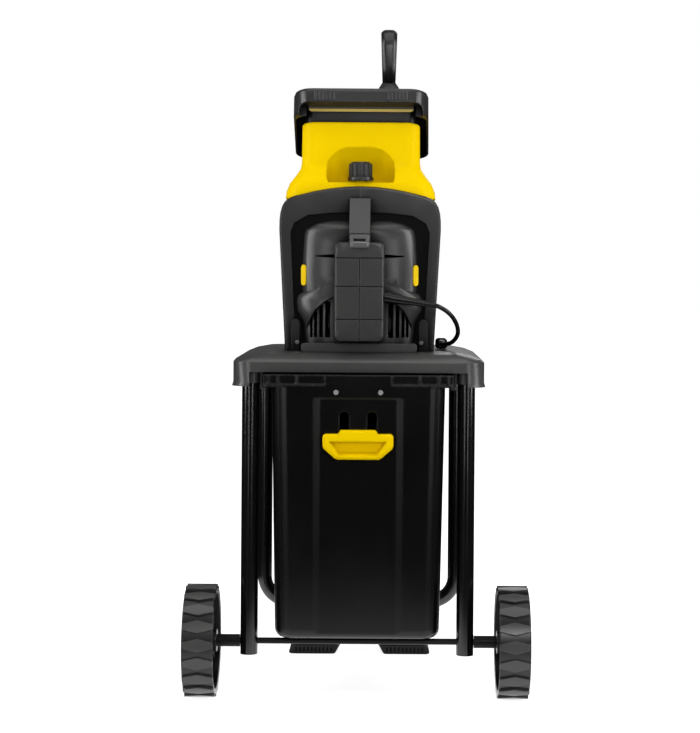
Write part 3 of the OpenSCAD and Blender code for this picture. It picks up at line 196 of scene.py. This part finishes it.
class ShredderFinish(bpy.types.PropertyGroup):
    """Colours and grain of the surfaces"""

    black: FloatVectorProperty(
        name="Black plastic",
        description="Colour of the body halves, the hopper's rim and the feet",
        default=(0.017, 0.0166, 0.0163),
        subtype="COLOR",
    )
    stick: FloatVectorProperty(
        name="Stick plastic",
        description="Colour of the push stick",
        default=(0.0085, 0.0083, 0.0081),
        subtype="COLOR",
    )
    box_black: FloatVectorProperty(
        name="Box plastic",
        description="Colour of the collection box and the cord",
        default=(0.0009, 0.0009, 0.0009),
        subtype="COLOR",
    )
    grey: FloatVectorProperty(
        name="Grey plastic",
        description="Colour of the motor's covers and the knife housing",
        default=(0.027, 0.0265, 0.026),
        subtype="COLOR",
    )
    deck: FloatVectorProperty(
        name="Deck plastic",
        description="Colour of the deck and the base strip",
        default=(0.044, 0.0432, 0.0424),
        subtype="COLOR",
    )
    wheel: FloatVectorProperty(
        name="Wheel plastic",
        description="Colour of the wheels",
        default=(0.046, 0.0453, 0.0445),
        subtype="COLOR",
    )
    yellow: FloatVectorProperty(
        name="Yellow plastic",
        description="Colour of the hopper shell, the latch and the badges",
        default=(0.83, 0.565, 0.0),
        subtype="COLOR",
    )
    paint: FloatVectorProperty(
        name="Tube paint",
        description="Colour of the painted legs and the axle",
        default=(0.0022, 0.0022, 0.0021),
        subtype="COLOR",
    )
    # The strip's colour is painted shade, a dark olive for yellow in deep shadow; its edge colour is a
    # painted highlight
    strip: FloatVectorProperty(
        name="Strip",
        description="Colour of the strip behind the handle bar",
        default=(0.05, 0.04, 0.012),
        subtype="COLOR",
    )
    strip_edge_highlight: FloatVectorProperty(
        name="Strip edge",
        description="Colour of the strip's lower edge",
        default=(0.5, 0.36, 0.06),
        subtype="COLOR",
    )
    steel: FloatVectorProperty(
        name="Steel",
        description="Colour of the plated small parts",
        default=(0.58, 0.58, 0.58),
        subtype="COLOR",
    )
    clip: FloatVectorProperty(
        name="Clip steel",
        description="Colour of the cover's clip and the body screws",
        default=(0.2, 0.2, 0.2),
        subtype="COLOR",
    )
    grain: FloatProperty(
        name="Grain",
        description="Size of the moulded grain",
        default=0.0011,
        unit="LENGTH",
    )
    soft: FloatProperty(
        name="Soft edges",
        description="Radius over which the shading rounds moulded edges",
        default=0.0016,
        unit="LENGTH",
    )


class ShredderCord(bpy.types.PropertyGroup):
    """The short mains cord"""

    diameter: FloatProperty(
        name="Diameter",
        description="Outside diameter of the cord",
        default=0.0073,
        unit="LENGTH",
    )
    route_steps: IntProperty(
        name="Route steps",
        description="Points of the route from one knot to the next",
        default=3,
    )
    ring_steps: IntProperty(
        name="Roundness",
        description="Steps in a quarter of the cord's round section",
        default=6,
    )


# Surfaces


def added(tree, kind, **values):
    """Adds a shader node and sets its named inputs."""
    made = tree.nodes.new(kind)
    for name, value in values.items():
        made.inputs[name.replace("_", " ")].default_value = value
    return made


def ranged(tree, value, source, target):
    """A number carried from one range to another."""
    made = added(tree, "ShaderNodeMapRange", From_Min=source[0], From_Max=source[1],
                 To_Min=target[0], To_Max=target[1])
    tree.links.new(value, made.inputs["Value"])
    return made.outputs["Result"]


def multiplied(tree, number, share):
    """A number times a share, which is a number or another socket."""
    made = tree.nodes.new("ShaderNodeMath")
    made.operation = "MULTIPLY"
    tree.links.new(number, made.inputs[0])
    if isinstance(share, bpy.types.NodeSocket):
        tree.links.new(share, made.inputs[1])
    else:
        made.inputs[1].default_value = share
    return made.outputs["Value"]


def scaled(tree, tone, share):
    """A colour times a share."""
    made = tree.nodes.new("ShaderNodeVectorMath")
    made.operation = "SCALE"
    tree.links.new(tone, made.inputs[0])
    tree.links.new(share, made.inputs["Scale"])
    return made.outputs["Vector"]


def length(tree, vector):
    """How long a vector is."""
    made = tree.nodes.new("ShaderNodeVectorMath")
    made.operation = "LENGTH"
    tree.links.new(vector, made.inputs[0])
    return made.outputs["Value"]


def along(tree, vector, axis):
    """One axis of a vector."""
    made = tree.nodes.new("ShaderNodeSeparateXYZ")
    tree.links.new(vector, made.inputs["Vector"])
    return made.outputs[axis]


def painted_shade_share(tree, place, hollow, shade_depths):
    """Share of its brightness that a point keeps under painted shade, less in narrow hollows and past a
    depth.
    """
    nearby = added(tree, "ShaderNodeAmbientOcclusion", Distance=HOLLOW_SHADE_REACH)
    nearby.samples = HOLLOW_SHADE_SAMPLES
    share = nearby.outputs["AO"]
    if shade_depths:
        fade = ranged(tree, along(tree, place, "Y"), shade_depths, (1.0, DEEP_SHADE_SHARE))
        share = multiplied(tree, share, fade)
    return ranged(tree, share, HOLLOW_SHADE_RANGE, (1 - hollow, 1.0))


def patches(tree, noise, colour, patchy):
    """A colour that drifts a little from patch to patch."""
    made = tree.nodes.new("ShaderNodeValToRGB")
    low, high = made.color_ramp.elements
    low.position, high.position = PATCH_RANGE
    low.color = (*[c * (1 - patchy) for c in colour], 1)
    high.color = (*[min(1, c * (1 + patchy)) for c in colour], 1)
    tree.links.new(noise, made.inputs["Fac"])
    return made.outputs["Color"]


def surface(name, colour, rough, grain, depth, metal=0.0, coat=0.0, patchy=0.12, shine=None, soft=0.0,
            hollow=0.0, shade_depths=None):
    """A moulded or coated surface: broad patches, fine grain, uneven gloss, soft edges and painted shade in
    hollows.
    """
    made = bpy.data.materials.new(name + "_finish")
    made.use_nodes = True
    tree = made.node_tree
    shader = tree.nodes["Principled BSDF"]
    shader.inputs["Metallic"].default_value = metal
    shader.inputs["Coat Weight"].default_value = coat
    shader.inputs["Coat Roughness"].default_value = COAT_ROUGH
    place = tree.nodes.new("ShaderNodeTexCoord").outputs["Object"]
    broad = added(tree, "ShaderNodeTexNoise", Scale=BROAD_GRAIN, Detail=BROAD_DETAIL)
    fine = added(tree, "ShaderNodeTexNoise", Scale=1 / grain, Detail=FINE_DETAIL)
    for texture in (broad, fine):
        tree.links.new(place, texture.inputs["Vector"])
    tone = patches(tree, broad.outputs["Fac"], colour, patchy)
    # Painted shade: the colour, and the gloss where no shine is given, are darkened in hollows and past the
    # given depths
    if hollow > 0:
        share = painted_shade_share(tree, place, hollow, shade_depths)
        tone = scaled(tree, tone, share)
        if shine is None:
            tree.links.new(multiplied(tree, share, PLAIN_GLOSS), shader.inputs["Specular IOR Level"])
    if shine is not None:
        shader.inputs["Specular IOR Level"].default_value = shine
    tree.links.new(tone, shader.inputs["Base Color"])
    gloss = ranged(tree, broad.outputs["Fac"], PATCH_RANGE, [rough * spread for spread in ROUGH_SPREAD])
    tree.links.new(gloss, shader.inputs["Roughness"])
    bump = added(tree, "ShaderNodeBump", Strength=GRAIN_STRENGTH, Distance=depth)
    tree.links.new(fine.outputs["Fac"], bump.inputs["Height"])
    tree.links.new(bump.outputs["Normal"], shader.inputs["Normal"])
    if soft > 0:
        edges = added(tree, "ShaderNodeBevel", Radius=soft)
        tree.links.new(edges.outputs["Normal"], bump.inputs["Normal"])
    return made


def painted_edge_highlight(material, colour):
    """Paints a highlight on the lowest part of a surface's height."""
    tree = material.node_tree
    base = tree.nodes["Principled BSDF"].inputs["Base Color"]
    place = tree.nodes.new("ShaderNodeTexCoord").outputs["Generated"]
    low = ranged(tree, along(tree, place, "Z"), STRIP_HIGHLIGHT_BAND, (1.0, 0.0))
    choice = tree.nodes.new("ShaderNodeMix")
    choice.data_type = "RGBA"
    # A mix of colours has its factor and its two colours at these inputs
    factor, first, second = (choice.inputs[i] for i in (0, 6, 7))
    tree.links.new(low, factor)
    tree.links.new(base.links[0].from_socket, first)
    second.default_value = (*colour, 1)
    tree.links.new(choice.outputs[2], base)


def painted_groove_shade(material, wheel):
    """Paints shade into a wheel's grooves and spokes and keeps its lugs at full colour, by the distance
    from the axle.
    """
    tree = material.node_tree
    base = tree.nodes["Principled BSDF"].inputs["Base Color"]
    corners = [Vector(corner) for corner in wheel.bound_box]
    place = tree.nodes.new("ShaderNodeTexCoord").outputs["Object"]
    apart = tree.nodes.new("ShaderNodeVectorMath")
    apart.operation = "SUBTRACT"
    apart.inputs[1].default_value = sum(corners, Vector()) / len(corners)
    tree.links.new(place, apart.inputs[0])
    across = tree.nodes.new("ShaderNodeVectorMath")
    across.operation = "MULTIPLY"
    across.inputs[1].default_value = (0, 1, 1)
    tree.links.new(apart.outputs["Vector"], across.inputs[0])
    share = ranged(tree, length(tree, across.outputs["Vector"]), LUG_RADII, (GROOVE_SHADE_SHARE, 1.0))
    tree.links.new(scaled(tree, base.links[0].from_socket, share), base)


def finish_node(name, material, crease=SMOOTH_ANGLE):
    """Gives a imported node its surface, with creases only at its sharp edges."""
    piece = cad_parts[name]
    mesh = piece.data
    mesh.materials.clear()
    mesh.materials.append(material)
    for old in ("custom_normal", "sharp_edge"):
        if old in mesh.attributes:
            mesh.attributes.remove(mesh.attributes[old])
    mesh.shade_smooth()
    joined = piece.modifiers.new("Joined", "WELD")
    joined.merge_threshold = JOIN_GAP
    creases = piece.modifiers.new("Creases", "EDGE_SPLIT")
    creases.split_angle = crease
    creases.use_edge_sharp = False
    even = piece.modifiers.new("Even shading", "WEIGHTED_NORMAL")
    even.keep_sharp = True


def finish_nodes(names, material):
    """The same for several nodes."""
    for name in names:
        finish_node(name, material)


def shared(name, *values, **more):
    """A surface that several pieces use, made once."""
    return bpy.data.materials.get(name + "_finish") or surface(name, *values, **more)


def black_plastic(context):
    """Grained black of the body halves, the feet and the hopper's rim."""
    finish = context.scene.shredder_finish
    return shared("black_plastic", finish.black, rough=0.32, grain=finish.grain, depth=0.00004,
                  soft=finish.soft, hollow=0.85)


def grey_plastic(context):
    """Dark grey of the rear cover and the knife housing."""
    finish = context.scene.shredder_finish
    return shared("grey_plastic", finish.grey, rough=0.32, grain=finish.grain, depth=0.00006,
                  soft=finish.soft, hollow=0.75)


def deck_plastic(context):
    """Lighter grey of the deck and the base strip."""
    finish = context.scene.shredder_finish
    return shared("deck_plastic", finish.deck, rough=0.32, grain=finish.grain, depth=0.00006,
                  soft=finish.soft, hollow=0.6)


def yellow_plastic(context):
    """Even yellow of the hopper shell and the latch."""
    finish = context.scene.shredder_finish
    return shared("yellow_plastic", finish.yellow, rough=0.32, grain=finish.grain, depth=0.00003,
                  patchy=0.03, shine=0.02, soft=finish.soft * 3.5, hollow=0.06)


def bright_steel(context):
    """Plated steel of screws, shaft and pins."""
    finish = context.scene.shredder_finish
    return shared("bright_steel", finish.steel, rough=0.34, grain=finish.grain, depth=0.00002, metal=0.9)


def rubber(context):
    """Black sheath of the cord, its relief and the plug."""
    finish = context.scene.shredder_finish
    return shared("cord_rubber", finish.box_black, rough=0.3, grain=finish.grain, depth=0.00002, shine=0.35)


# Studio


def area_light(context, name, place, aim, size, power):
    """A soft rectangular light that faces a point."""
    lamp = bpy.data.lights.new(name, "AREA")
    lamp.shape = "RECTANGLE"
    lamp.size, lamp.size_y = size
    lamp.energy = power
    made = bpy.data.objects.new(name, lamp)
    made.location = place
    made.rotation_euler = (Vector(aim) - Vector(place)).to_track_quat("-Z", "Y").to_euler()
    context.scene.collection.objects.link(made)


def on_side(side, place, aim, size):
    """A light of a pair, on one side of the middle."""
    return (side * place[0], *place[1:]), (side * aim[0], *aim[1:]), size


def glow(tree, strength):
    """White light of a given strength."""
    made = added(tree, "ShaderNodeEmission", Color=WHITE)
    tree.links.new(strength, made.inputs["Strength"])
    return made.outputs["Emission"]


def floor_white():
    """A white floor with a soft shadow near the object, which gloss sees only close to the object."""
    made = bpy.data.materials.new("floor_white")
    made.use_nodes = True
    tree = made.node_tree
    tree.nodes.remove(tree.nodes["Principled BSDF"])
    out = tree.nodes["Material Output"]
    reach = length(tree, tree.nodes.new("ShaderNodeTexCoord").outputs["Object"])
    seen = tree.nodes.new("ShaderNodeLightPath")
    level = multiplied(tree, ranged(tree, reach, *FLOOR_SEEN), seen.outputs["Is Camera Ray"])
    matt = added(tree, "ShaderNodeBsdfDiffuse", Color=FLOOR_GREY)
    both = tree.nodes.new("ShaderNodeAddShader")
    tree.links.new(glow(tree, level), both.inputs[0])
    tree.links.new(matt.outputs["BSDF"], both.inputs[1])
    choice = tree.nodes.new("ShaderNodeMixShader")
    tree.links.new(seen.outputs["Is Glossy Ray"], choice.inputs["Fac"])
    tree.links.new(both.outputs["Shader"], choice.inputs[1])
    tree.links.new(glow(tree, ranged(tree, reach, *FLOOR_MIRRORED)), choice.inputs[2])
    tree.links.new(choice.outputs["Shader"], out.inputs["Surface"])
    return made


def room(context, brightness):
    """A white background for the camera and a dimmer room for the light."""
    world = bpy.data.worlds.new("room")
    world.use_nodes = True
    context.scene.world = world
    tree = world.node_tree
    seen = tree.nodes.new("ShaderNodeLightPath")
    shade = tree.nodes["Background"]
    shade.inputs["Color"].default_value = WHITE
    level = ranged(tree, seen.outputs["Is Camera Ray"], (0.0, 1.0), (brightness, 1.0))
    tree.links.new(level, shade.inputs["Strength"])


# Pieces


class SHREDDER_OT_camera(bpy.types.Operator):
    """Place the camera level with the hopper, on the wheels' side"""

    bl_idname = "shredder.camera"
    bl_label = "Camera"

    def execute(self, context):
        studio = context.scene.shredder_studio
        lens = bpy.data.cameras.new("camera")
        lens.sensor_fit = "HORIZONTAL"
        lens.sensor_width = SENSOR_WIDTH
        lens.lens = studio.lens
        lens.shift_x, lens.shift_y = studio.shift
        lens.clip_end = FARTHEST_VIEW
        camera = bpy.data.objects.new("camera", lens)
        camera.location = studio.place
        camera.rotation_euler = (math.pi / 2, studio.roll, 0)
        context.scene.collection.objects.link(camera)
        context.scene.camera = camera
        return {"FINISHED"}


def smooth_route(knots, steps):
    """Points along a smooth line through the knots, with some steps between each two."""
    route = []
    last = len(knots) - 1
    for i in range(last):
        before, start, end, after = (Vector(knots[min(max(i + k, 0), last)]) for k in (-1, 0, 1, 2))
        for step in range(steps):
            t = step / steps
            first = (end - before) * t
            second = (2 * before - 5 * start + 4 * end - after) * t**2
            third = (3 * start - before - 3 * end + after) * t**3
            route.append(start + (first + second + third) / 2)
    return [*route, Vector(knots[last])]


class SHREDDER_OT_cord(bpy.types.Operator):
    """Lay the short cord from its relief to the plug on the deck"""

    bl_idname = "shredder.cord"
    bl_label = "Cord"

    def execute(self, context):
        cord = context.scene.shredder_cord
        line = bpy.data.curves.new("cord_line", "CURVE")
        line.dimensions = "3D"
        line.bevel_depth = cord.diameter / 2
        line.bevel_resolution = cord.ring_steps
        line.resolution_u = CORD_STEPS
        line.use_fill_caps = True
        route = [place * MM for place in smooth_route(CORD_KNOTS, cord.route_steps)]
        spline = line.splines.new("BEZIER")
        spline.bezier_points.add(len(route) - 1)
        for knot, place in zip(spline.bezier_points, route):
            knot.co = place
            knot.handle_left_type = "AUTO"
            knot.handle_right_type = "AUTO"
        made = bpy.data.objects.new("cord_line", line)
        context.scene.collection.objects.link(made)
        context.view_layer.update()
        line.materials.append(rubber(context))
        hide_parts("cord")
        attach(made, "chassis")
        return {"FINISHED"}


class SHREDDER_OT_stand(bpy.types.Operator):
    """Finish the deck, the painted legs and the feet"""

    bl_idname = "shredder.stand"
    bl_label = "Stand"

    def execute(self, context):
        finish = context.scene.shredder_finish
        paint = surface("black_tube", finish.paint, rough=0.16, grain=finish.grain * 6, depth=0.00001,
                        coat=0.2)
        finish_node("deck", deck_plastic(context))
        dull = surface("axle_paint", finish.paint, rough=0.35, grain=finish.grain * 6, depth=0.00001,
                       shine=0.15)
        finish_nodes(["left_leg", "right_leg", "front_leg"], paint)
        finish_nodes(["axle", "axle_spacers"], dull)
        finish_nodes(["left_foot", "right_foot"], black_plastic(context))
        return {"FINISHED"}


class SHREDDER_OT_wheels(bpy.types.Operator):
    """Finish the wheels and their caps"""

    bl_idname = "shredder.wheels"
    bl_label = "Wheels"

    def execute(self, context):
        finish = context.scene.shredder_finish
        satin = surface("wheel_plastic", finish.wheel, rough=0.3, grain=finish.grain, depth=0.00004,
                        shine=0.45, soft=finish.soft * 0.8)
        # Painted shade in the wheels' grooves, spokes and hub
        painted_groove_shade(satin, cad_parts["left_wheel"])
        finish_nodes(["left_wheel", "right_wheel"], satin)
        finish_node("axle_caps", black_plastic(context))
        return {"FINISHED"}


class SHREDDER_OT_box(bpy.types.Operator):
    """Finish the collection box, its screws and its latch"""

    bl_idname = "shredder.box"
    bl_label = "Collection box"

    def execute(self, context):
        finish = context.scene.shredder_finish
        shell = surface("box_plastic", finish.box_black, rough=0.26, grain=finish.grain, depth=0.00002,
                        shine=0.33, soft=finish.soft * 2.5)
        finish_node("collection_box", shell, STEP_ANGLE)
        finish_node("box_screws", bright_steel(context))
        finish_node("box_latch", yellow_plastic(context))
        return {"FINISHED"}


class SHREDDER_OT_body(bpy.types.Operator):
    """Finish the body halves, the motor's covers and their small parts"""

    bl_idname = "shredder.body"
    bl_label = "Body"

    def execute(self, context):
        finish = context.scene.shredder_finish
        badge = surface("badge_plastic", finish.yellow, rough=0.3, grain=finish.grain, depth=0.00002)
        finish_nodes(["left_body_half", "right_body_half"], black_plastic(context))
        # Painted shade: the cover's colour darkens in hollows and towards its base
        cover = surface("cover_plastic", finish.grey, rough=0.32, grain=finish.grain, depth=0.00006,
                        soft=finish.soft, hollow=0.85, shade_depths=COVER_SHADE_DEPTHS)
        finish_node("motor_cover", cover)
        finish_node("rear_cover", grey_plastic(context))
        finish_node("base_strip", deck_plastic(context))
        dull = surface("clip_steel", finish.clip, rough=0.3, grain=finish.grain, depth=0.00002,
                       metal=0.9, soft=finish.soft)
        finish_nodes(["cover_clip", "body_screws"], dull)
        finish_node("hinge_pin", bright_steel(context))
        finish_node("side_badges", badge)
        return {"FINISHED"}


class SHREDDER_OT_motor(bpy.types.Operator):
    """Finish the knife housing, the knives and the motor"""

    bl_idname = "shredder.motor"
    bl_label = "Motor and knives"

    def execute(self, context):
        finish = context.scene.shredder_finish
        cast = surface("cast_aluminium", finish.steel, rough=0.5, grain=finish.grain * 3, depth=0.0001,
                       metal=0.9)
        iron = surface("motor_iron", IRON_BROWN, rough=0.45, grain=finish.grain, depth=0.00005,
                       metal=0.6)
        blade = surface("blade_steel", finish.steel, rough=0.25, grain=finish.grain, depth=0.00002,
                        metal=1.0)
        finish_node("knife_housing", grey_plastic(context))
        finish_node("motor_housing", cast)
        finish_nodes(["stator", "rotor_core"], iron)
        finish_nodes(["knife_disc", "knives"], blade)
        finish_nodes(["motor_shaft", "bearings", "knife_screws", "disc_nut"], bright_steel(context))
        finish_node("cooling_fan", black_plastic(context))
        return {"FINISHED"}


class SHREDDER_OT_hopper(bpy.types.Operator):
    """Finish the hopper, its knob and the push stick"""

    bl_idname = "shredder.hopper"
    bl_label = "Hopper"

    def execute(self, context):
        finish = context.scene.shredder_finish
        # The strip behind the handle bar is painted shade, with a painted highlight along its lower edge
        shaded = surface("shaded_strip_plastic", finish.strip, rough=0.4, grain=finish.grain, depth=0.00006)
        painted_edge_highlight(shaded, finish.strip_edge_highlight)
        finish_node("hopper_shell", yellow_plastic(context))
        finish_node("mouth_strip", shaded)
        finish_nodes(["hopper_funnel", "hopper_rim", "knob"], black_plastic(context))
        stick = surface("stick_plastic", finish.stick, rough=0.32, grain=finish.grain, depth=0.00004,
                        soft=finish.soft, hollow=0.6)
        finish_node("pusher", stick)
        finish_node("knob_stud", bright_steel(context))
        return {"FINISHED"}


class SHREDDER_OT_switch(bpy.types.Operator):
    """Finish the switch, its buttons, the cord's relief and the plug"""

    bl_idname = "shredder.switch"
    bl_label = "Switch and plug"

    def execute(self, context):
        finish = context.scene.shredder_finish
        green = surface("green_plastic", START_GREEN, rough=0.35, grain=finish.grain, depth=0.00002)
        red = surface("red_plastic", STOP_RED, rough=0.35, grain=finish.grain, depth=0.00002)
        reset = surface("reset_plastic", finish.paint, rough=0.35, grain=finish.grain, depth=0.00002)
        finish_node("switch_box", black_plastic(context))
        finish_node("start_button", green)
        finish_node("stop_button", red)
        finish_node("reset_button", reset)
        finish_nodes(["cord_relief", "plug"], rubber(context))
        return {"FINISHED"}


class SHREDDER_OT_stage(bpy.types.Operator):
    """Lay the white floor and set the studio lights"""

    bl_idname = "shredder.stage"
    bl_label = "Stage"

    def execute(self, context):
        studio = context.scene.shredder_studio
        half = studio.floor / 2
        sheet = bpy.data.meshes.new("floor")
        corners = [(-half, -half, 0), (half, -half, 0), (half, half, 0), (-half, half, 0)]
        sheet.from_pydata(corners, [], [(0, 1, 2, 3)])
        sheet.materials.append(floor_white())
        floor = bpy.data.objects.new("floor", sheet)
        context.scene.collection.objects.link(floor)
        for side, share in ((-1, 1.0), (1, RIGHT_SHARE)):
            side_power = studio.side_power * share
            area_light(context, f"side_light_{side}", *on_side(side, *SIDE_LIGHT), side_power)
            area_light(context, f"glint_light_{side}", *on_side(side, *GLINT_LIGHT), studio.glint_power)
            area_light(context, f"edge_light_{side}", *on_side(side, *EDGE_LIGHT), studio.edge_power)
        area_light(context, "top_light", *TOP_LIGHT, studio.top_power)
        area_light(context, "front_light", *FRONT_LIGHT, studio.front_power)
        area_light(context, "back_light", *BACK_LIGHT, studio.back_power)
        room(context, studio.surround)
        context.scene.view_settings.view_transform = "Standard"
        return {"FINISHED"}


class SHREDDER_PT_panel(bpy.types.Panel):
    """Settings and steps of the shredder's looks"""

    bl_idname = "SHREDDER_PT_panel"
    bl_label = "Shredder"
    bl_space_type = "VIEW_3D"
    bl_region_type = "UI"
    bl_category = "Shredder"

    def draw(self, context):
        layout = self.layout
        scene = context.scene
        for settings in (scene.shredder_studio, scene.shredder_finish, scene.shredder_cord):
            block = layout.box()
            for name in settings.__annotations__:
                block.prop(settings, name)
        for step in STEPS:
            layout.operator(step.bl_idname)


STEPS = (
    SHREDDER_OT_camera,
    SHREDDER_OT_cord,
    SHREDDER_OT_stand,
    SHREDDER_OT_wheels,
    SHREDDER_OT_box,
    SHREDDER_OT_body,
    SHREDDER_OT_motor,
    SHREDDER_OT_hopper,
    SHREDDER_OT_switch,
    SHREDDER_OT_stage,
)
CLASSES = (ShredderStudio, ShredderFinish, ShredderCord, *STEPS, SHREDDER_PT_panel)


def register():
    for made in CLASSES:
        bpy.utils.register_class(made)
    bpy.types.Scene.shredder_studio = PointerProperty(type=ShredderStudio)
    bpy.types.Scene.shredder_finish = PointerProperty(type=ShredderFinish)
    bpy.types.Scene.shredder_cord = PointerProperty(type=ShredderCord)


def unregister():
    del bpy.types.Scene.shredder_cord
    del bpy.types.Scene.shredder_finish
    del bpy.types.Scene.shredder_studio
    for made in reversed(CLASSES):
        bpy.utils.unregister_class(made)


def main():
    register()
    bpy.ops.shredder.camera()
    bpy.ops.shredder.cord()
    bpy.ops.shredder.stand()
    bpy.ops.shredder.wheels()
    bpy.ops.shredder.box()
    bpy.ops.shredder.body()
    bpy.ops.shredder.motor()
    bpy.ops.shredder.hopper()
    bpy.ops.shredder.switch()
    bpy.ops.shredder.stage()


if __name__ == "__main__":
    main()
